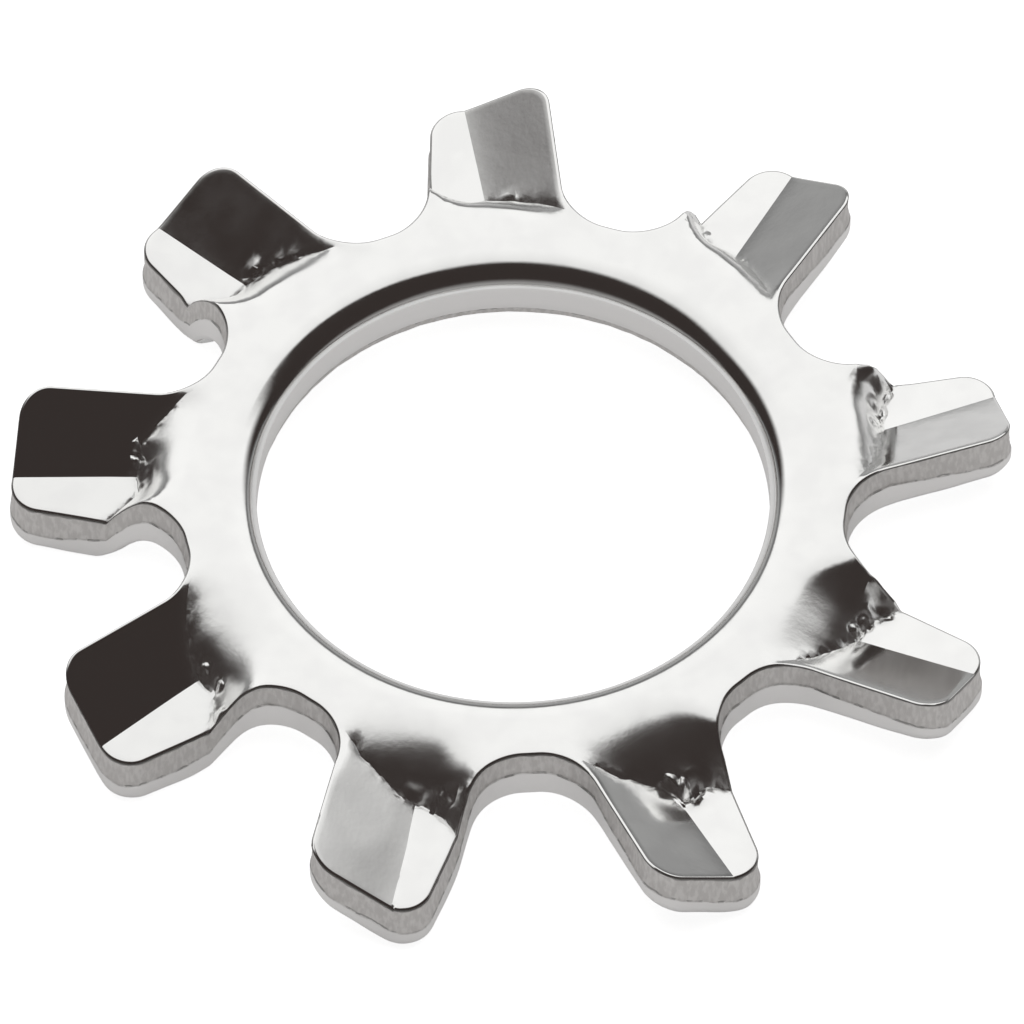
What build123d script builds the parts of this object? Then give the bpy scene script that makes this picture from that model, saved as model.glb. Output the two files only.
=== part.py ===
from build123d import *
import os
from math import cos, hypot, pi, radians, sin, tan

# Toothed lock washer, external pattern, for a 5 mm screw: one piece of stamped
# and formed spring-steel strip.  The blank is a ring with teeth round its outside.
# Each tooth is pressed down and creased, so that one of its edges stays level with
# the ring's top face and the other hangs below the ring's underside.
# Lengths are millimetres and angles are degrees.  +Z is up.  The origin is on the
# bore's axis, halfway through the ring's thickness.

# ring
bore_dia = 5.10            # hole for the screw
root_dia = 6.68            # outside of the ring, at the bottom of each valley
thickness = 0.63           # strip thickness, measured straight down everywhere

# edge of the bore
rollover_width = 0.32      # top edge drawn down by the piercing punch
rollover_depth = 0.20
rollover_knee = 0.25       # share of the width left where the curve turns down
breakout_depth = 0.12      # torn end of the bore's wall, which opens downwards
breakout_flare = 0.03

# teeth seen from above
tooth_count = 9
tip_dia = 10.05            # across the tips of the teeth
tip_width = 1.21           # width of a tooth where its sides reach the tip circle
taper_angle = 3.8          # each side leans out by this towards the ring
valley_fillet = 0.58       # inside radius between a tooth and the ring
tip_corner = 0.33          # radius on the two corners of a tip

# teeth seen from the side: a steep and a shallow facet that meet at a crease
crease_drop = 0.42         # depth of the crease below the ring's top face
steep_angle = 29.5         # facet that climbs from the crease to the high edge
shallow_angle = 5.0        # facet that falls from the crease to the low edge
crease_root_offset = 0.08  # crease to tooth centre line, at the crease's root
crease_tip_offset = 0.25   # the same at the tip circle

# bend between the flat ring and the facets, at four places across a tooth
steep_offset = 0.33        # tooth centre line to the line along the steep facet's middle
root_beyond_steep = 0.32   # from the root circle out to the steep facet's root
root_beyond_crease = 0.46  # out to the crease's root
root_beyond_low = 0.60     # out to the low edge's root
bend_length_high = 0.50    # length of the bend along the high edge
bend_length_steep = 0.86   # along the steep facet's middle
bend_length_crease = 1.02  # along the crease
bend_length_low = 0.84     # along the low edge

# working allowances of the tooth's sheet before it is trimmed to the blank
side_share = 0.9           # share of a pitch that the formed sheet takes at its inner end
trim_margin = 0.05         # sheet left beyond each side of the tip
tip_margin = 0.20          # sheet left beyond the tip circle
flat_margin = 0.04         # flat left between the core and the first bend
fillet_share = 0.95        # most of the room in a valley that its fillets may take

bore_radius = bore_dia / 2
root_radius = root_dia / 2
tip_radius = tip_dia / 2
top = thickness / 2
half_pitch = pi / tooth_count
pitch_degrees = 360 / tooth_count
tooth_direction = 90       # the first tooth points along +Y

# where each bend starts and ends, as distances from the bore's axis
crease_root = root_radius + root_beyond_crease
steep_root = root_radius + root_beyond_steep
low_root = root_radius + root_beyond_low
high_bend = (root_radius - bend_length_high, root_radius)
steep_bend = (steep_root - bend_length_steep, steep_root)
crease_bend = (crease_root - bend_length_crease, crease_root)
low_bend = (low_root - bend_length_low, low_root)
core_radius = min(high_bend + steep_bend + crease_bend + low_bend) - flat_margin
sheet_start = core_radius * cos(half_pitch)
sheet_end = tip_radius + tip_margin


def valley_radius():
    """Radius of the valley fillets, which both have to end on the root circle."""
    taper = radians(taper_angle)
    opening = sin(half_pitch + taper)
    side_distance = tip_radius * sin(taper) + tip_width / 2 * cos(taper)
    room = (root_radius * opening - side_distance) / (1 - opening)
    return min(valley_fillet, fillet_share * room)


def blank_outline():
    """Plan of the stamped blank: ring and teeth, without the bore."""
    side_run = tip_radius * tan(radians(taper_angle))
    half_tip = tip_width / 2
    tooth = make_face(Polyline(
        (0, half_tip + side_run),
        (tip_radius, half_tip),
        (tip_radius + tip_margin, half_tip),
        (tip_radius + tip_margin, -half_tip),
        (tip_radius, -half_tip),
        (0, -half_tip - side_run),
        close=True,
    ))
    teeth = [place * tooth for place in PolarLocations(0, tooth_count)]
    plan = Circle(root_radius) + teeth
    plan = Circle(tip_radius) & plan
    halfway = (root_radius + tip_radius) / 2
    outer = [v for v in plan.vertices() if hypot(v.X, v.Y) > halfway]
    plan = fillet(outer, tip_corner)
    inner = [v for v in plan.vertices() if hypot(v.X, v.Y) < root_radius + flat_margin]
    return fillet(inner, valley_radius())


def crease_offset(u):
    """Distance from the tooth's centre line to its crease, at radius u."""
    run = tip_radius - crease_root
    return crease_root_offset + (crease_tip_offset - crease_root_offset) * (u - crease_root) / run


def facet_height(u, v):
    """Height of the facet's upper face at u along the tooth and v across it."""
    across = v - crease_offset(u)
    slope = shallow_angle if across > 0 else steep_angle
    return top - crease_drop - across * tan(radians(slope))


def section(v_start, v_end, bend_start, bend_end, formed=True):
    """Upright section of the sheet, along a straight line across a tooth's plan."""

    def point(u, on_facet, depth):
        v = v_start + (v_end - v_start) * (u - sheet_start) / (sheet_end - sheet_start)
        height = facet_height(u, v) if on_facet else top
        return Vector(u, v, height - depth)

    edges = []
    ends = []
    for depth in (0, thickness):
        inner = point(sheet_start, False, depth)
        start = point(bend_start, False, depth)
        knee = point((bend_start + bend_end) / 2, False, depth)
        end = point(bend_end, formed, depth)
        outer = point(sheet_end, formed, depth)
        edges.append(Edge.make_line(inner, start))
        edges.append(Edge.make_bezier(start, knee, end))
        edges.append(Edge.make_line(end, outer))
        ends.append((inner, outer))
    edges += [Edge.make_line(upper, lower) for upper, lower in zip(*ends)]
    return Wire(edges)


def tooth_sheet():
    """One pitch of formed sheet, from the flat of one valley to the next."""
    pitch_start = sheet_start * tan(half_pitch)
    pitch_end = sheet_end * tan(half_pitch)
    side_start = side_share * pitch_start
    side_end = tip_width / 2 + trim_margin
    crease_start = crease_offset(sheet_start)
    crease_end = crease_offset(sheet_end)
    sections = [
        section(-pitch_start, -pitch_end, *high_bend, formed=False),
        section(-side_start, -side_end, *high_bend),
        section(-steep_offset, -steep_offset, *steep_bend),
        section(crease_start, crease_end, *crease_bend),
        section(side_start, side_end, *low_bend),
        section(pitch_start, pitch_end, *low_bend, formed=False),
    ]
    return Solid.make_loft(sections, ruled=True)


def bore_cutter():
    """Solid of the bore, with its drawn-in top edge and its torn bottom edge."""
    drawn = bore_radius + rollover_width
    torn = bore_radius + breakout_flare
    beyond = top + thickness
    edge_top = Edge.make_bezier(
        (drawn, 0, top),
        (bore_radius + rollover_knee * rollover_width, 0, top),
        (bore_radius, 0, top - rollover_depth),
    )
    rest = Polyline(
        (bore_radius, 0, top - rollover_depth),
        (bore_radius, 0, breakout_depth - top),
        (torn, 0, -top),
        (torn, 0, -beyond),
        (0, 0, -beyond),
        (0, 0, beyond),
        (drawn, 0, beyond),
        (drawn, 0, top),
    )
    return revolve(make_face([edge_top, rest]), Axis.Z)


def lock_washer():
    """The whole washer as one solid."""
    sheet = tooth_sheet()
    blank = extrude(blank_outline(), amount=sheet.bounding_box().diagonal, both=True)
    tooth = Part() + sheet & blank
    ring = extrude(Circle(core_radius), amount=top, both=True)
    teeth = [Rot(0, 0, tooth_direction + i * pitch_degrees) * tooth for i in range(tooth_count)]
    return ring + teeth - bore_cutter()


washer = lock_washer()
os.makedirs("parts", exist_ok=True)
export_step(washer, "parts/toothed_lock_washer.step")
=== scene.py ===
from math import atan2, cos, exp, hypot, pi, radians, sin, tan

import bmesh
import bpy
from mathutils import Matrix, Vector, kdtree, noise


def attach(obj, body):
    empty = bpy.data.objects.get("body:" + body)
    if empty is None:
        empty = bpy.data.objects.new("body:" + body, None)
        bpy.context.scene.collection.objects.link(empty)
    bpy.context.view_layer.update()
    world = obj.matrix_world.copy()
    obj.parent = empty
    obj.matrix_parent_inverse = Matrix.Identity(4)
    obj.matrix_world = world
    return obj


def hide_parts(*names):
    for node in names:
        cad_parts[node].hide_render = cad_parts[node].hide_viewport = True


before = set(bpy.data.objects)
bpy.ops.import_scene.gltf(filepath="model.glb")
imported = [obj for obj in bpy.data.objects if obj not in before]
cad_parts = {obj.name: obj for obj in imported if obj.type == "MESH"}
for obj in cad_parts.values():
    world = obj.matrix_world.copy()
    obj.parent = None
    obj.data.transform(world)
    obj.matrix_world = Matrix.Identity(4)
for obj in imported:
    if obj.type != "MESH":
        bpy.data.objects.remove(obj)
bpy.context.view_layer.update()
print("frame loaded")

# Sizes are in millimetres and degrees until the mesh is finished, then metres.
# On each tooth u runs outwards along its centre line and v across it, to the low edge.
mm = 0.001


def along(points, v):
    # value at v of the broken line through (value, v) points
    for (a, va), (b, vb) in zip(points, points[1:]):
        if v <= vb or (b, vb) == points[-1]:
            return a + (b - a) * (v - va) / (vb - va)


def ease(low, high, x):
    t = min(max((x - low) / (high - low), 0.0), 1.0)
    return t * t * (3 - 2 * t)


def onlyVerts(geom):
    return [g for g in geom if isinstance(g, bmesh.types.BMVert)]


# the flat blank, and how finely it is cut up before it is formed
plan = {
    "teeth": 9,
    "firstTooth": 90,
    "drawnRadius": 2.87,      # where the bore's drawn-in edge starts
    "rootRadius": 3.34,
    "tipRadius": 5.016,
    "tipWidth": 1.21,
    "sideTaper": 3.8,
    "valleyFillet": 0.57,
    "tipCorner": 0.33,
    "cornerSteps": 14,
    "straightSide": (3.75, 4.68),    # u where a tooth's side runs straight
    "boreSteps": 24,          # chords of the bore's edge in one pitch
    "rim": 0.10,              # width of the strips along the outline that the edge is made from
    "strips": (0.25, 0.25, 0.5),    # their shares of it, from the outline inwards
    "cell": 0.068,            # spacing of the score lines that the sheet is formed on
    "linesAcross": 24,        # score lines on each side of the tooth's centre line
    "toothFrom": 3.2,         # the lines of a tooth are only scored from this u on
    "creaseReach": 0.5,
    "fineFrom": -0.20,        # the grid is finer from here before a root line to here beyond it
    "fineTo": 0.12,
    "fineHalf": 0.64,         # and this far on each side of the tooth's centre line
    "fineCuts": 3,
    "scoreMerge": 1e-5,
    "merge": 1e-4,
}


def score(bm, first, last, near):
    # cuts the sheet along the line through two places, on the faces that near() picks
    run = Vector(last) - Vector(first)
    faces = [f for f in bm.faces if near(f)]
    verts = {v for f in faces for v in f.verts}
    edges = {e for f in faces for e in f.edges}
    bmesh.ops.bisect_plane(
        bm, geom=list(verts) + list(edges) + faces, dist=plan["scoreMerge"],
        plane_co=(first[0], first[1], 0), plane_no=(run.y, -run.x, 0))


def cutPitch(bm):
    # one tooth with half of the valley on each side, as flat strip
    half = pi / plan["teeth"]
    ray = Vector((cos(half), sin(half), 0))
    halfTip = plan["tipWidth"] / 2
    taper = tan(radians(plan["sideTaper"]))
    root = plan["rootRadius"]
    inner = plan["drawnRadius"]
    # the tooth's side meets the valley's tangent here
    u = (root - (halfTip + plan["tipRadius"] * taper) * ray.y) / (ray.x - taper * ray.y)
    corner = Vector((u, halfTip + (plan["tipRadius"] - u) * taper, 0))
    start = bm.verts.new((inner * ray.x, -inner * ray.y, 0))
    arc = bmesh.ops.spin(
        bm, geom=[start], cent=(0, 0, 0), axis=(0, 0, 1), angle=2 * half,
        steps=plan["boreSteps"])
    last = onlyVerts(arc["geom_last"])[0]
    outline = [root * ray, corner, Vector((plan["tipRadius"], halfTip, 0))]
    outline += [Vector((p.x, -p.y, 0)) for p in reversed(outline)]
    outer = [bm.verts.new(p) for p in outline]
    for a, b in zip([last] + outer, outer + [start]):
        bm.edges.new((a, b))
    bmesh.ops.contextual_create(bm, geom=bm.edges[:])
    for picks, radius in (((1, 4), plan["valleyFillet"]), ((2, 3), plan["tipCorner"])):
        for i in picks:
            sides = [e.other_vert(outer[i]).co - outer[i].co for e in outer[i].link_edges]
            bmesh.ops.bevel(
                bm, geom=[outer[i]], offset=radius / tan(sides[0].angle(sides[1]) / 2),
                offset_type="OFFSET", segments=plan["cornerSteps"], profile=0.5,
                affect="VERTICES", material=-1)
    # strips along the outline, in a slot of their own for now; neighbours on both sides,
    # for as long as this takes, carry the strips across the borders
    pitch = bm.verts[:] + bm.edges[:] + bm.faces[:]
    for turn in (2 * half, -2 * half):
        verts = onlyVerts(bmesh.ops.duplicate(bm, geom=pitch)["geom"])
        bmesh.ops.rotate(bm, verts=verts, cent=(0, 0, 0), matrix=Matrix.Rotation(turn, 4, "Z"))
    bmesh.ops.remove_doubles(bm, verts=bm.verts[:], dist=plan["merge"])
    middles = bm.faces[:]
    for share in plan["strips"]:
        strip = bmesh.ops.inset_region(
            bm, faces=middles, thickness=share * plan["rim"], use_boundary=True,
            use_even_offset=True)["faces"]
        for f in strip:
            f.material_index = 1
        middles = [f for f in bm.faces if f.material_index == 0]
    away = [f for f in bm.faces if abs(atan2(*f.calc_center_median().yx)) > half]
    bmesh.ops.delete(bm, geom=away, context="FACES")


# what the press does to the blank
form = {
    "thickness": 0.63,
    "top": 0.315,
    "creaseDrop": 0.42,
    "creaseRoot": (3.80, 0.09),
    "creaseTip": (5.025, 0.25),
    # root line of the facets, from the high edge over the crease to the low edge
    "rootLine": [(3.28, -0.80), (3.56, -0.45), (3.72, -0.16), (3.80, 0.09), (3.80, 0.30),
                 (3.87, 0.50), (4.02, 0.70)],
    "rootHalf": 0.7,              # the root line is sharp this far across
    "onLine": 0.001,
    # the bend starts at this u, and runs out from this v on towards the low edge
    "bendStart": (2.87, 0.05, 0.95),
    "shortestBend": 0.38,
    "bendPower": 2.1,
    "blur": 0.28,                 # the crease fades into the ring over this width
    "blurSteps": (-1, -0.5, 0, 0.5, 1),
    "sideStart": (0.843, 2.575),  # v of the formed side and the radius it is measured at
    "sideSlope": 0.071,
    "flatter": (0.10, 0.05),      # reach and slope of the flatter strip beside a crease
    "levelSoft": 0.02,            # the high side eases into the level of the ring over this depth
    "levelAlong": (3.5, 3.9),
    "levelAcross": (0.45, 0.65),
    "highest": 0.365,             # the high edges rise no further than this
    "underBlur": 0.16,            # the underside bends more softly than the top, over this reach
    "underFrom": (2.95, 3.2),
    "underSteps": ((0, 0), (1, 0), (-1, 0), (0, 1), (0, -1),
                   (0.5, 0), (-0.5, 0), (0, 0.5), (0, -0.5)),
    # a crease that lies off its place draws the sheet across, most of all at this v
    "swayMiddle": 0.15,
    "swayReach": (0.5, 0.24),     # on the high and on the low side of it
    "swayAlong": (2.9, 3.4),
}


def scorePitch(bm):
    # score lines both ways, the same on both sides of the tooth so that pitches meet;
    # the strips are only scored across, where the outline runs straight
    cell = plan["cell"]
    sideFrom, sideTo = plan["straightSide"]
    tipHalf = plan["tipWidth"] / 2 - plan["tipCorner"]

    def crossed(f):
        spot = f.calc_center_median()
        onSide = sideFrom < spot.x < sideTo and abs(spot.y) > tipHalf
        return f.material_index == 0 or onSide

    def split(f):
        spot = f.calc_center_median()
        onTip = spot.x > plan["tipRadius"] - plan["rim"] and abs(spot.y) < tipHalf
        return f.material_index == 0 or onTip

    def inBand(f, uFrom, low, high):
        spot = f.calc_center_median()
        return spot.x > uFrom and low < spot.y < high

    def nearRoot(v):
        gap = v.co.x - along(form["rootLine"], v.co.y)
        return plan["fineFrom"] < gap < plan["fineTo"] and abs(v.co.y) < plan["fineHalf"]

    for i in range(int(plan["tipRadius"] / cell) + 1):
        u = (i + 0.5) * cell
        if u > plan["drawnRadius"] * cos(pi / plan["teeth"]):
            score(bm, (u, 0), (u, 1), crossed)
    for i in range(plan["linesAcross"]):
        for v in {i * cell, -i * cell}:
            score(bm, (0, v), (1, v), split)
    # the crease and the root lines get edges of their own
    start, end, reach = form["creaseRoot"], form["creaseTip"], plan["creaseReach"]
    score(bm, start, end, lambda f: inBand(f, start[0], -reach, reach))
    for start, end in zip(form["rootLine"], form["rootLine"][1:]):
        score(bm, start, end, lambda f: inBand(f, plan["toothFrom"], start[1], end[1]))
    fine = [e for e in bm.edges if nearRoot(e.verts[0]) and nearRoot(e.verts[1])]
    bmesh.ops.subdivide_edges(bm, edges=fine, cuts=plan["fineCuts"], use_grid_fill=True)
    for f in bm.faces:
        f.material_index = 0


def spinBlank(bm):
    cutPitch(bm)
    print("pitch cut:", len(bm.verts), "points")
    scorePitch(bm)
    print("pitch scored:", len(bm.faces), "faces")
    turn = Matrix.Rotation(radians(plan["firstTooth"]), 4, "Z")
    bmesh.ops.rotate(bm, verts=bm.verts[:], cent=(0, 0, 0), matrix=turn)
    bmesh.ops.spin(
        bm, geom=bm.verts[:] + bm.edges[:] + bm.faces[:], cent=(0, 0, 0), axis=(0, 0, 1),
        angle=2 * pi * (1 - 1 / plan["teeth"]), steps=plan["teeth"] - 1, use_duplicate=True)
    bmesh.ops.remove_doubles(bm, verts=bm.verts[:], dist=plan["merge"])
    bmesh.ops.recalc_face_normals(bm, faces=bm.faces[:])
    if bm.faces[:][0].normal.z < 0:
        bmesh.ops.reverse_faces(bm, faces=bm.faces[:])
    print("blank spun:", len(bm.faces), "faces")


def toothPlace(co):
    # tooth number and the place in that tooth's own frame
    pitch = 2 * pi / plan["teeth"]
    first = radians(plan["firstTooth"])
    number = round((atan2(co.y, co.x) - first) / pitch)
    turn = Matrix.Rotation(-first - number * pitch, 3, "Z")
    local = turn @ co
    return number % plan["teeth"], local.x, local.y


def fromCrease(u, v):
    # how far a place lies from the crease, across the tooth
    (ua, va), (ub, vb) = form["creaseRoot"], form["creaseTip"]
    return v - va - (vb - va) * (u - ua) / (ub - ua)


def onLine(co):
    # 1 on a crease and 2 on a root line of the flat blank, else 0
    u, v = toothPlace(co)[1:]
    size = form["onLine"]
    if u > form["creaseRoot"][0] - size and abs(fromCrease(u, v)) < size:
        return 1
    if abs(v) < form["rootHalf"] and abs(u - along(form["rootLine"], v)) < size:
        return 2
    return 0


def facetDrop(tooth, u, v):
    across = fromCrease(u, v - tooth.get("crease", 0.0))
    if across > 0:
        return form["creaseDrop"] + across * tan(radians(tooth["shallow"]))
    # the steep facet is a little flatter next to the crease
    size, slope = form["flatter"]
    drop = form["creaseDrop"] + across * tan(radians(tooth["steep"]))
    drop += size * slope * (1 - exp(across / size))
    if "oval" in tooth:
        # the facet falls away outside its flat oval
        ovalU, ovalV, stretch, radius, slope = tooth["oval"]
        drop += slope * max(0.0, hypot((u - ovalU) / stretch, v - ovalV) - radius)
    return drop


def bendStart(v, root, share):
    u, middle, run = form["bendStart"]
    start = min(u + run * max(0.0, v - middle) ** 2, root - form["shortestBend"])
    return max(root - share * (root - start), plan["drawnRadius"])


# small marks along the root lines
marks = {
    "across": (0.56, 0.70),       # they end between these distances from the centre line
    "groove": (0.010, 0.04),      # depth and width of the groove along the root line
    "foldReach": 0.11,
    "foldDepth": 0.011,
    "foldSize": 0.075,
    "foldFiner": 2.3,             # a second layer of folds, finer and half as deep
    "foldBeyond": 0.2,            # share of the folds that the facets get
    "jag": 0.022,
    "jagSizes": (0.13, 0.05),
    "shiftReach": 0.30,           # a shifted root draws in the sheet this far on each side
    "shiftEnds": (-0.6, 0.7),
    "dentRim": (1.2, 0.4, 0.35),  # where a dent's rim lies, its half width and its height
    "wave": 0.0012,
    "waveLengths": (1.6, 2.4),    # waves per millimetre along and across a facet
    "waveStart": 0.2,
    "seedStep": 7.3,              # from the noise of one tooth to that of the next
}

# how each tooth came out of the press: the angles of its two facets, the length of its bend
# as a share of the longest, how ragged its root is, how far its root is shifted outwards as
# (shift, v) along the root, and dents as (u, v, radius, depth), where a negative depth is a
# bump. One tooth also has its crease off its place and a flat oval pressed in its facet.
teeth = [
    {"steep": 29.5, "shallow": 5.0, "bend": 0.48, "ragged": 0.4,
     "shift": [(0.0, -0.6), (-0.02, 0.1), (-0.08, 0.3), (-0.06, 0.7)],
     "dents": [(3.70, -0.10, 0.09, 0.015)]},
    {"steep": 29.5, "shallow": 5.0, "bend": 0.52, "ragged": 0.7,
     "shift": [(0.0, -0.6), (0.04, 0.1), (0.02, 0.3), (0.10, 0.6), (0.10, 0.7)],
     "dents": [(3.88, -0.08, 0.08, -0.035), (3.73, -0.30, 0.06, -0.02),
               (3.62, -0.42, 0.06, -0.02)]},
    {"steep": 29.5, "shallow": 5.0, "bend": 0.70, "ragged": 1.0,
     "shift": [(0.0, -0.6), (0.05, -0.2), (-0.05, 0.1), (-0.08, 0.3), (0.03, 0.5), (0.0, 0.7)],
     "dents": [(3.79, -0.19, 0.07, -0.04), (3.80, -0.04, 0.06, -0.035), (3.66, 0.16, 0.10, 0.03)]},
    {"steep": 29.5, "shallow": 5.0, "bend": 1.00, "ragged": 0.8,
     "shift": [(0.0, -0.6), (-0.05, 0.1), (-0.08, 0.3), (0.0, 0.7)],
     "dents": [(3.69, 0.32, 0.06, -0.03), (3.70, 0.06, 0.06, -0.03), (3.84, 0.60, 0.07, -0.04)]},
    {"steep": 29.5, "shallow": 5.0, "bend": 1.00, "ragged": 1.0, "crease": 0.065,
     "oval": (4.12, -0.30, 1.5, 0.32, 0.035),    # u, v, length over width, half width, slope
     "shift": [(0.0, -0.6), (-0.04, 0.0), (-0.06, 0.27), (-0.03, 0.7)],
     "dents": [(3.66, 0.45, 0.08, -0.04), (3.62, 0.62, 0.08, -0.03), (3.68, 0.10, 0.10, 0.03)]},
    {"steep": 29.5, "shallow": 5.0, "bend": 1.00, "ragged": 0.9,
     "shift": [(0.0, -0.6), (-0.02, 0.0), (0.14, 0.14), (0.03, 0.4), (0.0, 0.7)],
     "dents": [(3.83, 0.27, 0.13, 0.06), (3.68, 0.10, 0.06, -0.04), (3.74, 0.20, 0.06, -0.04)]},
    {"steep": 27.0, "shallow": 5.0, "bend": 1.00, "ragged": 1.0,
     "shift": [(0.0, -0.6), (-0.03, 0.1), (0.0, 0.7)],
     "dents": [(3.79, 0.55, 0.13, 0.07), (3.77, 0.30, 0.06, -0.03), (3.74, 0.16, 0.06, -0.03)]},
    {"steep": 29.5, "shallow": 5.0, "bend": 0.45, "ragged": 1.0,
     "shift": [(0.0, -0.6), (-0.02, 0.1), (0.05, 0.5), (0.05, 0.7)],
     "dents": [(3.82, 0.585, 0.11, -0.06), (3.74, 0.10, 0.06, -0.03), (3.78, 0.32, 0.07, -0.03)]},
    {"steep": 29.5, "shallow": 5.0, "bend": 0.40, "ragged": 0.4,
     "shift": [(0.0, -0.6), (0.0, 0.1), (-0.04, 0.4), (0.0, 0.7)],
     "dents": [(3.86, 0.50, 0.10, -0.03), (3.74, 0.0, 0.06, 0.02)]},
]


def swayAside(co, number, u, v):
    # the place and v of a point that is drawn across together with its tooth's crease
    highReach, lowReach = form["swayReach"]
    off = v - form["swayMiddle"]
    near = max(0.0, 1 - abs(off) / (highReach if off < 0 else lowReach))
    sway = teeth[number]["crease"] * near * ease(*form["swayAlong"], u)
    aside = radians(plan["firstTooth"]) + number * 2 * pi / plan["teeth"]
    moved = co + sway * Vector((-sin(aside), cos(aside), 0))
    return moved * min(1.0, co.length / moved.length), v + sway


def dentDrop(u, v, dents):
    # each dent is a round dish, or dome, with a low rim round it
    middle, half, height = marks["dentRim"]
    total = 0.0
    for dentU, dentV, radius, depth in dents:
        near = hypot(u - dentU, v - dentV) / radius
        rim = max(0.0, 1 - abs(near - middle) / half)
        total += depth * (max(0.0, 1 - near * near) ** 2 - height * rim)
    return total


def markDrop(tooth, seed, u, v, beyond):
    # folds, a groove, dents and waves, as a depth
    inside = 1 - ease(*marks["across"], abs(v))
    close = max(0.0, 1 - abs(beyond) / marks["foldReach"])
    size, finer = marks["foldSize"], marks["foldFiner"]
    fold = noise.noise(Vector((u / size, v / size, seed)))
    fold += 0.5 * noise.noise(Vector((finer * u / size, finer * v / size, seed + 40)))
    share = 1.0 if beyond < 0 else marks["foldBeyond"]
    drop = -marks["foldDepth"] * tooth["ragged"] * close * close * share * fold * inside
    depth, width = marks["groove"]
    drop += depth * max(0.0, 1 - abs(beyond) / width) * inside
    drop += dentDrop(u, v, tooth["dents"])
    if beyond > 0:
        alongWaves, acrossWaves = marks["waveLengths"]
        wave = noise.noise(Vector((u * alongWaves, v * acrossWaves, seed + 80)))
        drop += marks["wave"] * wave * ease(0, marks["waveStart"], beyond)
    return drop


def markMove(tooth, seed, v, beyond):
    # how far the ragged and shifted root line moves a point outwards
    inside = 1 - ease(*marks["across"], abs(v))
    close = max(0.0, 1 - abs(beyond) / marks["foldReach"])
    broad, fine = marks["jagSizes"]
    jag = noise.noise(Vector((v / broad, 3.0, seed + 20)))
    jag += 0.5 * noise.noise(Vector((v / fine, 9.0, seed)))
    wide = max(0.0, 1 - abs(beyond) / marks["shiftReach"])
    low, high = marks["shiftEnds"]
    shift = along(tooth["shift"], min(max(v, low), high)) * wide * wide * (3 - 2 * wide)
    return marks["jag"] * close * jag * tooth["ragged"] * inside + shift


def formedPlace(co, plain=False):
    # where the press leaves a point of the flat blank, with or without its small marks
    number, u, v = toothPlace(co)
    tooth = teeth[number]
    if "crease" in tooth:
        co, v = swayAside(co, number, u, v)
    border = u * tan(pi / plan["teeth"])
    side = form["sideStart"][0] - form["sideSlope"] * (u - form["sideStart"][1])
    share = min(max((border - abs(v)) / (border - side), 0.0), 1.0)
    root = along(form["rootLine"], v)
    start = bendStart(v, root, tooth["bend"])
    t = (u - start) / (root - start)
    if t <= 0 or share == 0:
        return Vector((co.x, co.y, form["top"]))
    beyond = u - root
    if beyond < 0:
        blur = form["blur"] * (1 - t)
        steps = form["blurSteps"]
        drop = sum(facetDrop(tooth, root, v + step * blur) for step in steps) / len(steps)
        drop *= t ** form["bendPower"]
    else:
        drop = facetDrop(tooth, u, v)
    # beside the tooth nothing rises above the ring
    level = (drop + hypot(drop, form["levelSoft"]) - form["levelSoft"]) / 2
    drop += (level - drop) * (1 - ease(*form["levelAlong"], u)) * ease(*form["levelAcross"], abs(v))
    place = Vector((co.x, co.y, 0))
    if not plain:
        seed = marks["seedStep"] * number
        drop += markDrop(tooth, seed, u, v, beyond)
        place += co.normalized() * markMove(tooth, seed, v, beyond) * share
    place.z = min(form["top"] - share * drop, form["highest"])
    return place


def underPlace(co):
    # the same point on the underside, without the marks and with softer bends
    reach = form["underBlur"] * ease(*form["underFrom"], hypot(co.x, co.y))
    steps = form["underSteps"]
    height = 0.0
    for dx, dy in steps:
        near = Vector((co.x + dx * reach, co.y + dy * reach, 0))
        height += formedPlace(near, plain=True).z / len(steps)
    return Vector((co.x, co.y, height - form["thickness"]))


# the cut edge: a rounded top edge, a torn band, a burnished band and a rounded lower edge
edge = {
    "topRound": 0.036,            # radius of the top edge
    "topInset": 0.020,            # where it ends, inside the outline
    "topTo": 25,                  # degrees round the top edge where the top's own strips end
    "topRows": (45, 68),          # and the rows that follow
    # rows of the torn band as (depth, distance inside the outline)
    "tornRows": [(0.05, 0.021), (0.12, 0.024), (0.16, 0.023), (0.20, 0.021), (0.24, 0.017),
                 (0.275, 0.012), (0.295, 0.008), (0.305, 0.0)],
    "tornStretch": 1.28,          # the torn band is this much higher at the tips
    "tornGrowth": (3.6, 4.6),     # and grows between these u
    "tornUneven": (0.10, 0.5),    # share and size of its unevenness
    "burnishRows": (0.33, 0.67, 1.0),    # shares of the burnished band
    "roundRows": (15, 30),        # degrees round the lower edge
    "roundTo": 46,                # and where the underside starts
    "roundRoot": 0.03,            # height of the rounding in the valleys
    "roundSide": 0.09,            # and along the teeth
    "roundTip": 0.14,             # and at their tips
    "rootToSide": (3.4, 3.9),     # the height grows between these u
    "sideToTip": (4.3, 4.9),
    "roundUneven": (0.12, 0.3),
    "roundWidth": 0.85,           # width of the rounding over its height
    "rough": 0.011,               # depth of the bumps on the torn band, and their size
    "grain": 0.06,
    "grainStretch": 2.2,
    "sunk": 0.4,                  # share of the bumps' depth that lies inside
    "tornFrom": 0.03,             # depths between which the torn band is rough
    "tornTo": (0.27, 0.31),
    "stray": 0.035,               # how far the rows wander up and down, and over what lengths
    "straySizes": (0.45, 0.12),
    "strayFrom": (0.04, 0.2),
    "strayTo": (0.36, 0.5),
    "rimSamples": 20,             # points on each edge of the outline that distances start from
}

# the plating is roughened by the bend: where it is rough in full, as a share of the bend's
# length, and where that ends beyond the root line and beside the tooth
bendWear = {"full": 0.6, "beyond": (0.0, 0.15), "beside": (0.7, 1.0)}


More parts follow.
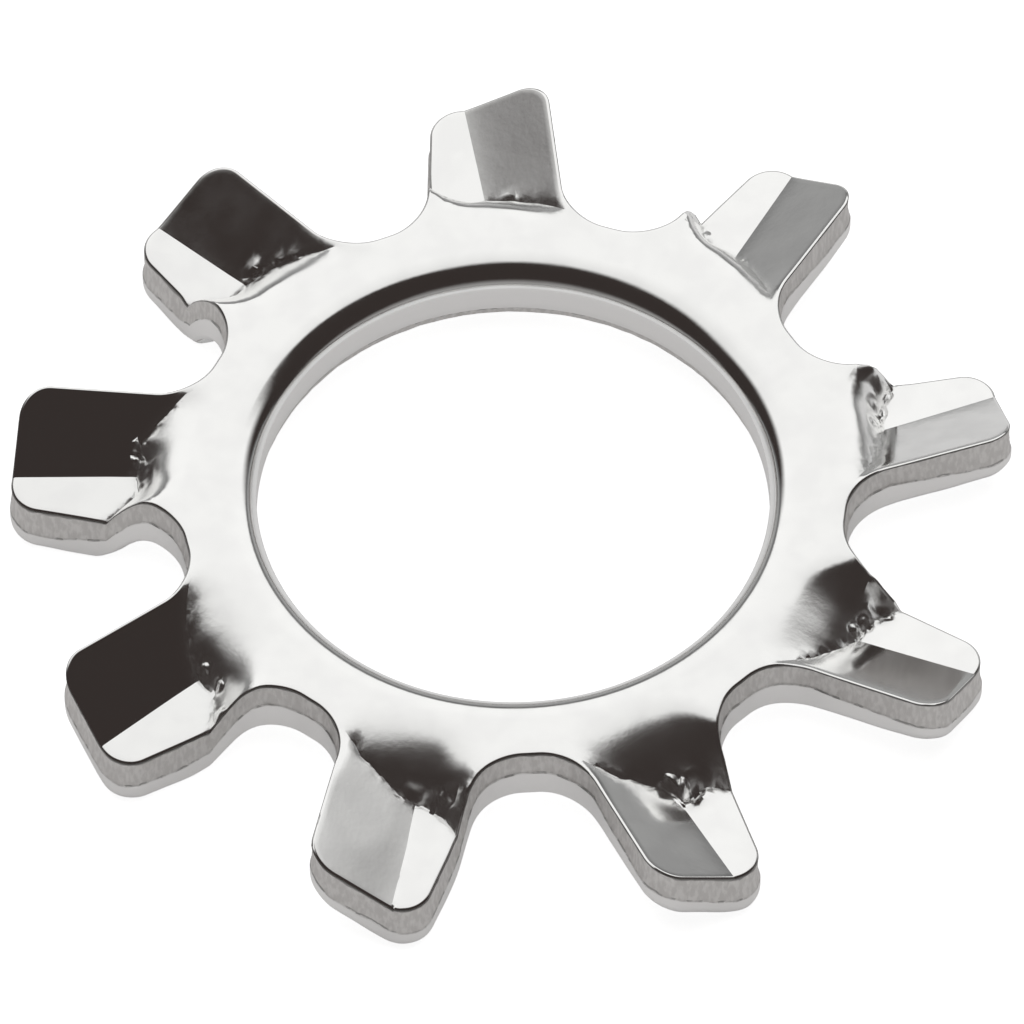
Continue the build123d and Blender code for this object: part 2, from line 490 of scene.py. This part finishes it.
def uneven(co, size, layer):
    return noise.noise(Vector((co.x / size, co.y / size, layer)))


def roundHeight(co):
    # height of the rounded lower edge, which is largest round the tips of the teeth
    u = toothPlace(co)[1]
    height = edge["roundRoot"]
    height += (edge["roundSide"] - edge["roundRoot"]) * ease(*edge["rootToSide"], u)
    height += (edge["roundTip"] - edge["roundSide"]) * ease(*edge["sideToTip"], u)
    share, size = edge["roundUneven"]
    return height * (1 + share * uneven(co, size, 2.0))


def tornStretch(co):
    # the torn band grows towards the tip of a tooth, unevenly
    u = toothPlace(co)[1]
    share, size = edge["tornUneven"]
    growth = (edge["tornStretch"] - 1) * ease(*edge["tornGrowth"], u)
    return 1 + growth + share * uneven(co, size, 4.0)


def workedShare(co):
    # how strongly the bend has roughened the plating, from 0 to 1
    number, u, v = toothPlace(co)
    root = along(form["rootLine"], v)
    start = bendStart(v, root, teeth[number]["bend"])
    before = ease(start, start + bendWear["full"] * (root - start), u)
    after = ease(*bendWear["beyond"], u - root)
    return before * (1 - after) * (1 - ease(*bendWear["beside"], abs(v)))


def roundRise(gap, height):
    # how far the underside has risen at this distance inside the outline
    away = max(0.0, 1 - gap / (edge["roundWidth"] * height))
    return height * (1 - (1 - away * away) ** 0.5)


def edgePlace(home, beneath, out, depth, inset):
    # a point on the cut edge, between its home on the top face and the place beneath it
    broad, fine = edge["straySizes"]
    where = uneven(home, broad, 5.0) + 0.5 * uneven(home, fine, 8.0)
    stray = edge["stray"] * where * ease(*edge["strayFrom"], depth)
    stray *= 1 - ease(*edge["strayTo"], depth)
    rough = ease(0.0, edge["tornFrom"], depth) * (1 - ease(*edge["tornTo"], depth))
    grain = edge["grain"]
    bumps = uneven(home, grain, depth / (edge["grainStretch"] * grain))
    place = home.lerp(beneath, depth / form["thickness"])
    place += out * (edge["rough"] * rough * (bumps - edge["sunk"]) - inset)
    place.z -= stray
    return place


# what each point carries while the washer is formed: its place on the flat blank, its home
# on the formed top, the place beneath it, the way outwards, its distance from the outline,
# its depth on an edge, the height of the lower rounding, the stretch of the torn band, the
# wear of the bend and the line it lies on
pointLayers = {
    "float_vector": ("flat", "home", "beneath", "out"),
    "float": ("gap", "depth", "bulge", "torn", "worked"),
    "int": ("line",),
}
keptLayers = ("depth", "worked")    # the materials read these


def addLayers(bm):
    for kind, names in pointLayers.items():
        for name in names:
            getattr(bm.verts.layers, kind).new(name)


def layers(bm, *wanted):
    kinds = {name: kind for kind, names in pointLayers.items() for name in names}
    return [getattr(bm.verts.layers, kinds[name])[name] for name in wanted]


def dropLayers(bm):
    for kind, names in pointLayers.items():
        group = getattr(bm.verts.layers, kind)
        for name in names:
            if name not in keptLayers:
                group.remove(group[name])


def outerRim(bm):
    rim = [e for e in bm.edges if e.is_boundary]
    middle = (plan["drawnRadius"] + plan["rootRadius"]) / 2
    return [e for e in rim if hypot(*e.verts[0].co.xy) > middle]


def measureRim(bm):
    # the way outwards at each point near the outline, and how far it lies inside it
    out, gap = layers(bm, "out", "gap")
    rim = outerRim(bm)
    steps = edge["rimSamples"]
    tree = kdtree.KDTree(len(rim) * steps)
    sides = {}
    for i, e in enumerate(rim):
        loop = e.link_loops[0]
        a, b = loop.vert.co, loop.link_loop_next.vert.co
        sides[e] = Vector((b.y - a.y, a.x - b.x, 0))
        for k in range(steps):
            tree.insert(a.lerp(b, k / steps), i * steps + k)
    tree.balance()
    for v in bm.verts:
        number, distance = tree.find(v.co)[1:]
        v[gap] = distance
        v[out] = sides[rim[number // steps]].normalized()
    for v in {v for e in rim for v in e.verts}:
        v[out] = sum((sides[e] for e in v.link_edges if e in sides), Vector()).normalized()
        v[gap] = 0


def formSheet(bm):
    flat, home, beneath = layers(bm, "flat", "home", "beneath")
    line, bulge, torn, worked = layers(bm, "line", "bulge", "torn", "worked")
    for v in bm.verts:
        v[line] = onLine(v.co)
        v[bulge] = roundHeight(v.co)
        v[torn] = tornStretch(v.co)
        v[worked] = workedShare(v.co)
        v[flat] = v.co
        v[beneath] = underPlace(v.co)
        v.co = formedPlace(v.co)
        v[home] = v.co


def lowerEdgeInset():
    # where the rounded lower edge meets the underside, over the rounding's height
    return edge["roundWidth"] * (1 - cos(radians(edge["roundTo"])))


def makeUnderside(bm, sheet):
    # a copy of the top, one strip thickness lower, that rises into the rounded lower edge
    flat, out, gap, bulge, beneath, line = layers(
        bm, "flat", "out", "gap", "bulge", "beneath", "line")
    under = bmesh.ops.duplicate(bm, geom=sheet)["geom"]
    faces = [g for g in under if isinstance(g, bmesh.types.BMFace)]
    bmesh.ops.reverse_faces(bm, faces=faces)
    verts = onlyVerts(under)
    for v in verts:
        v[line] = 0
        move = lowerEdgeInset() * v[bulge] * max(0.0, 1 - v[gap] / plan["rim"])
        v.co = underPlace(v[flat] - v[out] * move) if move else v[beneath]
        v.co.z += roundRise(v[gap] + move, v[bulge])
    return verts


def roundTop(bm, sheet):
    # the top's own strips along the outline turn down into the rounded top edge
    flat, out, gap = layers(bm, "flat", "out", "gap")
    radius, rim = edge["topRound"], plan["rim"]
    for v in {v for f in sheet for v in f.verts}:
        near = 2 * max(0.0, 1 - v[gap] / rim)
        if near > 0:
            angle = radians(edge["topTo"]) * max(0.0, near - 1)
            inside = rim - (rim - edge["topInset"] - radius) * min(1.0, near)
            v.co = formedPlace(v[flat] - v[out] * (inside - radius * sin(angle) - v[gap]))
            v.co.z -= radius * (1 - cos(angle))


def nextRow(bm, loop, slot=1):
    made = bmesh.ops.extrude_edge_only(bm, edges=loop)["geom"]
    for g in made:
        if isinstance(g, bmesh.types.BMFace):
            g.material_index = slot
    return [g for g in made if isinstance(g, bmesh.types.BMEdge)], onlyVerts(made)


def makeCutEdge(bm, loop):
    # row by row from the top's strips down to the underside
    flat, home, beneath, out = layers(bm, "flat", "home", "beneath", "out")
    depth, bulge, torn = layers(bm, "depth", "bulge", "torn")
    radius, full = edge["topRound"], form["thickness"]
    for angle in edge["topRows"]:
        loop, verts = nextRow(bm, loop, 0 if angle == edge["topRows"][0] else 1)
        rowDepth = radius * (1 - cos(radians(angle)))
        inset = edge["topInset"] + radius * (1 - sin(radians(angle)))
        for v in verts:
            v.co = formedPlace(v[flat] - v[out] * inset)
            v.co.z -= rowDepth
            v[depth] = rowDepth
    for rowDepth, inset in edge["tornRows"]:
        loop, verts = nextRow(bm, loop)
        for v in verts:
            v.co = edgePlace(v[home], v[beneath], v[out], rowDepth * v[torn], inset)
            v[depth] = rowDepth
    tornEnd = edge["tornRows"][-1][0]
    for share in edge["burnishRows"]:
        loop, verts = nextRow(bm, loop)
        for v in verts:
            first = tornEnd * v[torn]
            rowDepth = first + (full - v[bulge] - first) * share
            v.co = edgePlace(v[home], v[beneath], v[out], rowDepth, 0.0)
            v[depth] = tornEnd + (full - tornEnd) * share
    for angle in edge["roundRows"]:
        loop, verts = nextRow(bm, loop)
        for v in verts:
            rowDepth = full - v[bulge] * (1 - sin(radians(angle)))
            inset = edge["roundWidth"] * v[bulge] * (1 - cos(radians(angle)))
            v.co = edgePlace(v[home], v[beneath], v[out], rowDepth, inset)
            v[depth] = full
    loop, seam = nextRow(bm, loop)
    for v in seam:
        move = lowerEdgeInset() * v[bulge]
        v.co = underPlace(v[flat] - v[out] * move)
        v.co.z += roundRise(move, v[bulge])
        v[depth] = full
    return seam


# the bore: a drawn-in top edge, a burnished wall and a torn lower end
bore = {
    "radius": 2.55,
    "knee": 2.63,                 # the drawn-in edge turns down here
    "drawnDepth": 0.20,
    "drawnSteps": 8,
    "wallRows": (0.27, 0.34, 0.42, 0.51),    # depths, of which the last starts the torn end
    "flare": 0.03,
    "flareRows": ((0.4, 0.07), (0.8, 0.03)),    # share of the flare and height from below
    "underWidth": 0.12,           # strip of the underside round the bore
    "rough": 0.008,
    "roughTo": 2.6,               # nothing outside this radius is ragged
    "roughWaves": (18, 6),        # round the bore and up its wall
    "tornShade": 0.20,            # depth that the bottom of the bore is shaded as
}


def boreRows():
    # radius and height of each row, from the top face down to the underside
    radius, flare = bore["radius"], bore["flare"]
    top, low = form["top"], form["top"] - form["thickness"]
    rows = []
    for i in range(1, bore["drawnSteps"] + 1):
        t = i / bore["drawnSteps"]
        r = (1 - t) ** 2 * plan["drawnRadius"] + 2 * t * (1 - t) * bore["knee"] + t * t * radius
        rows.append((r, top - t * t * bore["drawnDepth"]))
    rows += [(radius, top - depth) for depth in bore["wallRows"]]
    rows += [(radius + share * flare, low + height) for share, height in bore["flareRows"]]
    return rows + [(radius + flare, low), (radius + bore["underWidth"], low)]


def makeBore(bm, loop):
    depth, beneath = layers(bm, "depth", "beneath")
    top, low = form["top"], form["top"] - form["thickness"]
    around, up = bore["roughWaves"]
    for i, (r, z) in enumerate(boreRows()):
        loop, verts = nextRow(bm, loop, 0 if i < bore["drawnSteps"] else 1)
        for v in verts:
            ray = v.co.to_2d().normalized()
            onWall = bore["radius"] < r < bore["roughTo"]
            ragged = ease(top - bore["wallRows"][-1], low, z) if onWall else 0.0
            ragged *= bore["rough"] * noise.noise(Vector((ray.x * around, ray.y * around, z * up)))
            v.co = Vector((ray.x * (r + ragged), ray.y * (r + ragged), z))
            v[depth] = bore["tornShade"] + z - low
    loop, seam = nextRow(bm, loop, 0)
    for v in seam:
        v.co = v[beneath]
    return seam


# edges stay sharp from these angles on: anywhere, and along a crease or a root line
sharpFrom = {"anywhere": 30, "onLine": 8}


def markSharp(bm):
    line = layers(bm, "line")[0]
    for e in bm.edges:
        a, b = (v[line] for v in e.verts)
        bend = e.calc_face_angle(pi)
        limit = sharpFrom["onLine"] if a and a == b else sharpFrom["anywhere"]
        e.smooth = bend < radians(limit)


def formWasher(bm):
    addLayers(bm)
    measureRim(bm)
    formSheet(bm)
    sheet = bm.faces[:]
    outside = outerRim(bm)
    known = set(outside)
    inside = [e for e in bm.edges if e.is_boundary and e not in known]
    underVerts = makeUnderside(bm, sheet)
    roundTop(bm, sheet)
    print("sheet formed:", len(bm.faces), "faces")
    seam = makeCutEdge(bm, outside)
    seam += makeBore(bm, inside)
    print("walls made:", len(bm.faces), "faces")
    bmesh.ops.remove_doubles(bm, verts=seam + underVerts, dist=plan["merge"])
    bmesh.ops.recalc_face_normals(bm, faces=bm.faces[:])
    print("open edges:", len([e for e in bm.edges if not e.is_manifold]))
    markSharp(bm)
    dropLayers(bm)


def makeWasher():
    bm = bmesh.new()
    spinBlank(bm)
    formWasher(bm)
    for f in bm.faces:
        f.smooth = True
    bmesh.ops.scale(bm, vec=(mm, mm, mm), verts=bm.verts[:])
    mesh = bpy.data.meshes.new("lockWasher")
    bm.to_mesh(mesh)
    bm.free()
    piece = bpy.data.objects.new("lock_washer", mesh)
    bpy.context.scene.collection.objects.link(piece)
    print("washer formed:", len(mesh.polygons), "faces")
    return piece


washer = makeWasher()
print("triangles:", sum(len(p.vertices) - 2 for p in washer.data.polygons))

nodeName = list(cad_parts)[0]
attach(washer, "root")
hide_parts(nodeName)


def addNode(tree, kind, **settings):
    node = tree.nodes.new(kind)
    for name, value in settings.items():
        setattr(node, name, value)
    return node


def feed(tree, socket, value):
    # links an output, or writes a plain value
    if isinstance(value, bpy.types.NodeSocket):
        tree.links.new(value, socket)
    else:
        socket.default_value = value


def math(tree, operation, *values):
    node = addNode(tree, "ShaderNodeMath", operation=operation)
    for socket, value in zip(node.inputs, values):
        feed(tree, socket, value)
    return node.outputs["Value"]


def ramp(tree, value, low, high, toLow=0.0, toHigh=1.0):
    node = addNode(tree, "ShaderNodeMapRange", interpolation_type="SMOOTHSTEP")
    for name, number in (("Value", value), ("From Min", low), ("From Max", high),
                         ("To Min", toLow), ("To Max", toHigh)):
        feed(tree, node.inputs[name], number)
    return node.outputs["Result"]


def lineAt(tree, value, middle, half, solid):
    # 1 on a line at this value, which fades from its solid share out to its half width
    off = math(tree, "ABSOLUTE", math(tree, "SUBTRACT", value, middle))
    return ramp(tree, off, half, solid * half)


def mixColour(tree, mask, a, b):
    node = addNode(tree, "ShaderNodeMix", data_type="RGBA")
    feed(tree, node.inputs["Factor"], mask)
    feed(tree, node.inputs[6], a)
    feed(tree, node.inputs[7], b)
    return node.outputs[2]


def grain(tree, vector, size, detail=2.0):
    # noise whose features are about this many millimetres across
    node = addNode(tree, "ShaderNodeTexNoise")
    feed(tree, node.inputs["Vector"], vector)
    feed(tree, node.inputs["Scale"], 1 / (size * mm))
    feed(tree, node.inputs["Detail"], detail)
    return node.outputs["Fac"]


def newGroup(name, inputs, outputs):
    group = bpy.data.node_groups.new(name, "ShaderNodeTree")
    for socketName, kind in inputs:
        group.interface.new_socket(socketName, in_out="INPUT", socket_type="NodeSocket" + kind)
    for socketName, kind in outputs:
        group.interface.new_socket(socketName, in_out="OUTPUT", socket_type="NodeSocket" + kind)
    start = addNode(group, "NodeGroupInput")
    end = addNode(group, "NodeGroupOutput")
    return group, start, end


# grain of a surface: a fine and a broad noise, added up as a height in metres
grainGroup = {"fine": 0.055, "broad": 0.35, "broadDetail": 3.0}


def makeGrainGroup():
    group, start, end = newGroup(
        "metalGrain", [("Vector", "Vector"), ("Fine Depth", "Float"), ("Broad Depth", "Float")],
        [("Height", "Float"), ("Broad", "Float")])
    vector = start.outputs["Vector"]
    fine = grain(group, vector, grainGroup["fine"])
    broad = grain(group, vector, grainGroup["broad"], grainGroup["broadDetail"])
    height = math(group, "MULTIPLY", fine, start.outputs["Fine Depth"])
    height = math(group, "MULTIPLY_ADD", broad, start.outputs["Broad Depth"], height)
    group.links.new(height, end.inputs["Height"])
    group.links.new(broad, end.inputs["Broad"])
    return group


metalGrain = makeGrainGroup()


def useGrain(tree, vector, fineDepth, broadDepth):
    node = addNode(tree, "ShaderNodeGroup", node_tree=metalGrain)
    feed(tree, node.inputs["Vector"], vector)
    feed(tree, node.inputs["Fine Depth"], fineDepth)
    feed(tree, node.inputs["Broad Depth"], broadDepth)
    return node.outputs["Height"], node.outputs["Broad"]


def newMetal(name):
    material = bpy.data.materials.new(name)
    material.use_nodes = True
    tree = material.node_tree
    bsdf = tree.nodes["Principled BSDF"]
    bsdf.inputs["Metallic"].default_value = 1
    vector = addNode(tree, "ShaderNodeTexCoord").outputs["Object"]
    return material, tree, bsdf, vector


def finishMetal(tree, bsdf, colour, rough, height):
    bump = addNode(tree, "ShaderNodeBump")
    bump.inputs["Distance"].default_value = 1
    tree.links.new(height, bump.inputs["Height"])
    tree.links.new(bump.outputs["Normal"], bsdf.inputs["Normal"])
    tree.links.new(colour, bsdf.inputs["Base Color"])
    tree.links.new(rough, bsdf.inputs["Roughness"])


# bright plating on the pressed faces; sizes in millimetres, depths in metres
plated = {
    "bright": (0.95, 0.948, 0.938, 1),
    "dull": (0.92, 0.917, 0.91, 1),
    "dullOver": (0.35, 0.68),     # the broad grain turns from bright to dull over these values
    "fineDepth": 0.00025 * mm,
    "workedDepth": 0.0007 * mm,   # extra depth of the fine grain on the bends
    "broadDepth": 0.0010 * mm,
    "roughOver": (0.3, 0.7),      # and from smooth to rough over these
    "roughness": (0.085, 0.14),
    "workedRough": 0.13,          # the bends are rougher by this
    "pitSize": 0.55,              # distance between possible pits
    "pitless": 0.72,              # share of them that stay smooth
    "pitRadius": 0.018,
    "pitFloor": 0.4,              # share of a pit's radius that is its floor
    "pitDepth": 0.004 * mm,
}


def faceMaterial():
    material, tree, bsdf, vector = newMetal("platedFace")
    worked = addNode(tree, "ShaderNodeAttribute", attribute_name="worked").outputs["Fac"]
    fine = math(tree, "MULTIPLY_ADD", worked, plated["workedDepth"], plated["fineDepth"])
    height, broad = useGrain(tree, vector, fine, plated["broadDepth"])
    cells = addNode(tree, "ShaderNodeTexVoronoi")
    feed(tree, cells.inputs["Vector"], vector)
    feed(tree, cells.inputs["Scale"], 1 / (plated["pitSize"] * mm))
    away = math(tree, "MULTIPLY", cells.outputs["Distance"], plated["pitSize"])
    pit = ramp(tree, away, plated["pitRadius"], plated["pitFloor"] * plated["pitRadius"])
    pick = addNode(tree, "ShaderNodeSeparateColor")
    tree.links.new(cells.outputs["Color"], pick.inputs["Color"])
    picked = math(tree, "GREATER_THAN", pick.outputs["Red"], plated["pitless"])
    pit = math(tree, "MULTIPLY", pit, picked)
    height = math(tree, "MULTIPLY_ADD", pit, -plated["pitDepth"], height)
    cloud = ramp(tree, broad, *plated["dullOver"])
    colour = mixColour(tree, cloud, plated["bright"], plated["dull"])
    rough = ramp(tree, broad, *plated["roughOver"], *plated["roughness"])
    rough = math(tree, "MULTIPLY_ADD", worked, plated["workedRough"], rough)
    finishMetal(tree, bsdf, colour, rough, height)
    return material


# cut edge: torn grey metal above, burnished below, with a dark line where they meet, and painted
# shade round the rounded top edge;
# sizes in millimetres, depths of the grain in metres
cut = {
    "torn": (0.66, 0.64, 0.625, 1),
    "tornLight": (0.76, 0.74, 0.725, 1),
    "burnished": (0.86, 0.845, 0.835, 1),
    # painted shade: the dark colour of the line round the rounded top edge
    "line": (0.34, 0.33, 0.32, 1),
    "boundaryLine": (0.42, 0.41, 0.40, 1),
    "boundary": 0.298,            # depth where the torn band ends
    "boundaryBlend": 0.008,       # half the depth over which it blends into the burnished one
    "wander": 0.05,               # how far the bands wander up and down, and its size
    "wanderSize": 0.16,
    "topShadeLine": 0.012,             # depth of the line of painted shade round the rounded top edge
    "topShadeWidth": 0.032,            # half its width, and the share of it that is solid
    "topShadeSolid": 0.4,
    "lineWidth": 0.013,           # the same for the line along the boundary
    "lineSolid": 0.3,
    "breakOver": (0.48, 0.60),    # noise values between which the boundary's line is broken
    "streaks": (1, 1, 0.35),      # the grain is drawn out upwards
    "fleckSize": 0.045,
    "fleckOver": (0.38, 0.66),    # noise values between which torn metal grows lighter
    "detail": 3.0,
    "fineDepth": 0.006 * mm,
    "broadDepth": 0.008 * mm,
    "burnishGrain": 0.15,         # share of the grain's depth on burnished metal
    "tornRough": 0.55,
    "burnishRough": 0.34,
}


def cutMaterial():
    material, tree, bsdf, vector = newMetal("cutEdge")
    depth = addNode(tree, "ShaderNodeAttribute", attribute_name="depth").outputs["Fac"]
    wander = grain(tree, vector, cut["wanderSize"], cut["detail"])
    wander = math(tree, "SUBTRACT", wander, 0.5)
    depth = math(tree, "MULTIPLY_ADD", wander, cut["wander"], depth)
    boundary, blend = cut["boundary"], cut["boundaryBlend"]
    torn = ramp(tree, depth, boundary + blend, boundary - blend)
    streak = addNode(tree, "ShaderNodeMapping")
    streak.inputs["Scale"].default_value = cut["streaks"]
    tree.links.new(vector, streak.inputs["Vector"])
    height = useGrain(tree, streak.outputs["Vector"], cut["fineDepth"], cut["broadDepth"])[0]
    fleck = grain(tree, streak.outputs["Vector"], cut["fleckSize"], cut["detail"])
    fleck = ramp(tree, fleck, *cut["fleckOver"])
    colour = mixColour(tree, fleck, cut["torn"], cut["tornLight"])
    colour = mixColour(tree, torn, cut["burnished"], colour)
    # a broken dark line along the boundary, and painted shade in a whole line round the rounded top
    # edge
    line = lineAt(tree, depth, boundary, cut["lineWidth"], cut["lineSolid"])
    breaks = grain(tree, vector, cut["wanderSize"], cut["detail"])
    line = math(tree, "MULTIPLY", line, ramp(tree, breaks, *cut["breakOver"]))
    colour = mixColour(tree, line, colour, cut["boundaryLine"])
    # painted shade, darkening the rounded top edge with the colour cut["line"]
    line = lineAt(tree, depth, cut["topShadeLine"], cut["topShadeWidth"], cut["topShadeSolid"])
    colour = mixColour(tree, line, colour, cut["line"])
    rough = ramp(tree, torn, 0.0, 1.0, cut["burnishRough"], cut["tornRough"])
    share = ramp(tree, torn, 0.0, 1.0, cut["burnishGrain"], 1.0)
    height = math(tree, "MULTIPLY", height, share)
    finishMetal(tree, bsdf, colour, rough, height)
    return material


washer.data.materials.append(faceMaterial())
washer.data.materials.append(cutMaterial())
print("materials made")

# studio: one broad white panel beyond the washer, dark sides and a grey wall behind the
# camera. Heights are in degrees up from the far horizon and over the top, and the panel's
# sides are at these x of a direction one long; each pair is where a blend starts and ends.
studio = {
    "turn": 2.644,                # the panel faces the camera
    "panelLow": (19, 26),
    "panelHigh": (80, 94),
    "panelLeft": (-0.79, -0.58),
    "panelRight": (0.62, 0.87),
    "panelFall": (0.12, 0.42, 22),    # its upper edge comes down between these x, by this much
    "panelFade": (42, 88),        # heights over which it grows duller
    "panelColour": (0.97, 0.97, 0.963, 1),
    "panelHighColour": (0.80, 0.80, 0.793, 1),
    "darkColour": (0.036, 0.029, 0.027, 1),
    "lowFrom": (-14, -6),         # a grey band starts here, under the panel
    "lowColour": (0.34, 0.34, 0.338, 1),
    "gap": (9, 18),               # and grows darker towards the panel
    "gapColour": (0.12, 0.12, 0.12, 1),
    "back": (152, 172),
    "backColour": (0.30, 0.295, 0.29, 1),
    "seenColour": (1.0, 1.0, 1.0, 1),    # what the camera itself sees
}


def makeWorld():
    world = bpy.data.worlds.new("studio")
    bpy.context.scene.world = world
    world.use_nodes = True
    tree = world.node_tree
    coord = addNode(tree, "ShaderNodeTexCoord")
    turn = addNode(tree, "ShaderNodeMapping")
    turn.inputs["Rotation"].default_value[2] = radians(studio["turn"])
    split = addNode(tree, "ShaderNodeSeparateXYZ")
    tree.links.new(coord.outputs["Generated"], turn.inputs["Vector"])
    tree.links.new(turn.outputs["Vector"], split.inputs["Vector"])
    side = split.outputs["X"]
    rise = math(tree, "ARCTAN2", split.outputs["Z"], split.outputs["Y"])
    rise = math(tree, "DEGREES", rise)
    # the panel
    fallFrom, fallTo, fall = studio["panelFall"]
    upper = math(tree, "ADD", rise, ramp(tree, side, fallFrom, fallTo, 0.0, fall))
    panel = ramp(tree, rise, *studio["panelLow"])
    panel = math(tree, "MULTIPLY", panel, ramp(tree, upper, *reversed(studio["panelHigh"])))
    panel = math(tree, "MULTIPLY", panel, ramp(tree, side, *studio["panelLeft"]))
    panel = math(tree, "MULTIPLY", panel, ramp(tree, side, *reversed(studio["panelRight"])))
    fade = ramp(tree, rise, *studio["panelFade"])
    white = mixColour(tree, fade, studio["panelColour"], studio["panelHighColour"])
    # the grey band under it
    band = ramp(tree, rise, *studio["lowFrom"])
    band = math(tree, "MULTIPLY", band, ramp(tree, rise, *reversed(studio["panelLow"])))
    gap = ramp(tree, rise, *studio["gap"])
    grey = mixColour(tree, gap, studio["lowColour"], studio["gapColour"])
    # and the rest
    back = ramp(tree, rise, *studio["back"])
    colour = mixColour(tree, back, studio["darkColour"], studio["backColour"])
    colour = mixColour(tree, band, colour, grey)
    colour = mixColour(tree, panel, colour, white)
    path = addNode(tree, "ShaderNodeLightPath")
    colour = mixColour(tree, path.outputs["Is Camera Ray"], colour, studio["seenColour"])
    tree.links.new(colour, tree.nodes["Background"].inputs["Color"])


makeWorld()

# pale floor under the lowest tips, which glows a little towards the camera and in reflections
floorSettings = {
    "size": 60.0,
    "height": -0.775,
    "colour": (0.50, 0.50, 0.50, 1),
    "cameraLift": 0.85,
    "mirrorLift": 0.30,
}


def makeFloor():
    bm = bmesh.new()
    bmesh.ops.create_grid(bm, x_segments=1, y_segments=1, size=floorSettings["size"] * mm)
    bmesh.ops.translate(bm, verts=bm.verts[:], vec=(0, 0, floorSettings["height"] * mm))
    mesh = bpy.data.meshes.new("floor")
    bm.to_mesh(mesh)
    bm.free()
    floor = bpy.data.objects.new("floor", mesh)
    bpy.context.scene.collection.objects.link(floor)
    material = bpy.data.materials.new("paleFloor")
    material.use_nodes = True
    tree = material.node_tree
    bsdf = tree.nodes["Principled BSDF"]
    bsdf.inputs["Base Color"].default_value = floorSettings["colour"]
    bsdf.inputs["Roughness"].default_value = 1
    bsdf.inputs["Specular IOR Level"].default_value = 0
    bsdf.inputs["Emission Color"].default_value = (1, 1, 1, 1)
    path = addNode(tree, "ShaderNodeLightPath")
    lift = math(tree, "MULTIPLY", path.outputs["Is Camera Ray"], floorSettings["cameraLift"])
    lift = math(
        tree, "MULTIPLY_ADD", path.outputs["Is Glossy Ray"], floorSettings["mirrorLift"], lift)
    tree.links.new(lift, bsdf.inputs["Emission Strength"])
    mesh.materials.append(material)


makeFloor()

lampSettings = {"height": 60.0, "size": 60.0, "watts": 0.02}


def makeLamp():
    light = bpy.data.lights.new("softbox", "AREA")
    light.size = lampSettings["size"] * mm
    light.energy = lampSettings["watts"]
    lamp = bpy.data.objects.new("softbox", light)
    lamp.location = (0, 0, lampSettings["height"] * mm)
    lamp.visible_glossy = False
    bpy.context.scene.collection.objects.link(lamp)


makeLamp()

view = {
    "lens": 603.7,
    "distance": 170.3,
    "elevation": 53.866,
    "turn": -2.644,
    "roll": -0.297,
    "target": (-0.0229, -0.2156, 0.106),
    "clipEnd": 2,                 # metres
}


def makeCamera():
    data = bpy.data.cameras.new("camera")
    data.lens = view["lens"]
    data.clip_end = view["clipEnd"]
    camera = bpy.data.objects.new("camera", data)
    turn = Matrix.Rotation(radians(view["turn"]), 4, "Z")
    tilt = Matrix.Rotation(radians(90 - view["elevation"]), 4, "X")
    roll = Matrix.Rotation(radians(view["roll"]), 4, "Z")
    rotation = turn @ tilt @ roll
    back = rotation @ Vector((0, 0, view["distance"] * mm))
    camera.matrix_world = Matrix.Translation(Vector(view["target"]) * mm + back) @ rotation
    bpy.context.scene.collection.objects.link(camera)
    bpy.context.scene.camera = camera


makeCamera()
bpy.context.scene.view_settings.view_transform = "Standard"
print("studio set up")
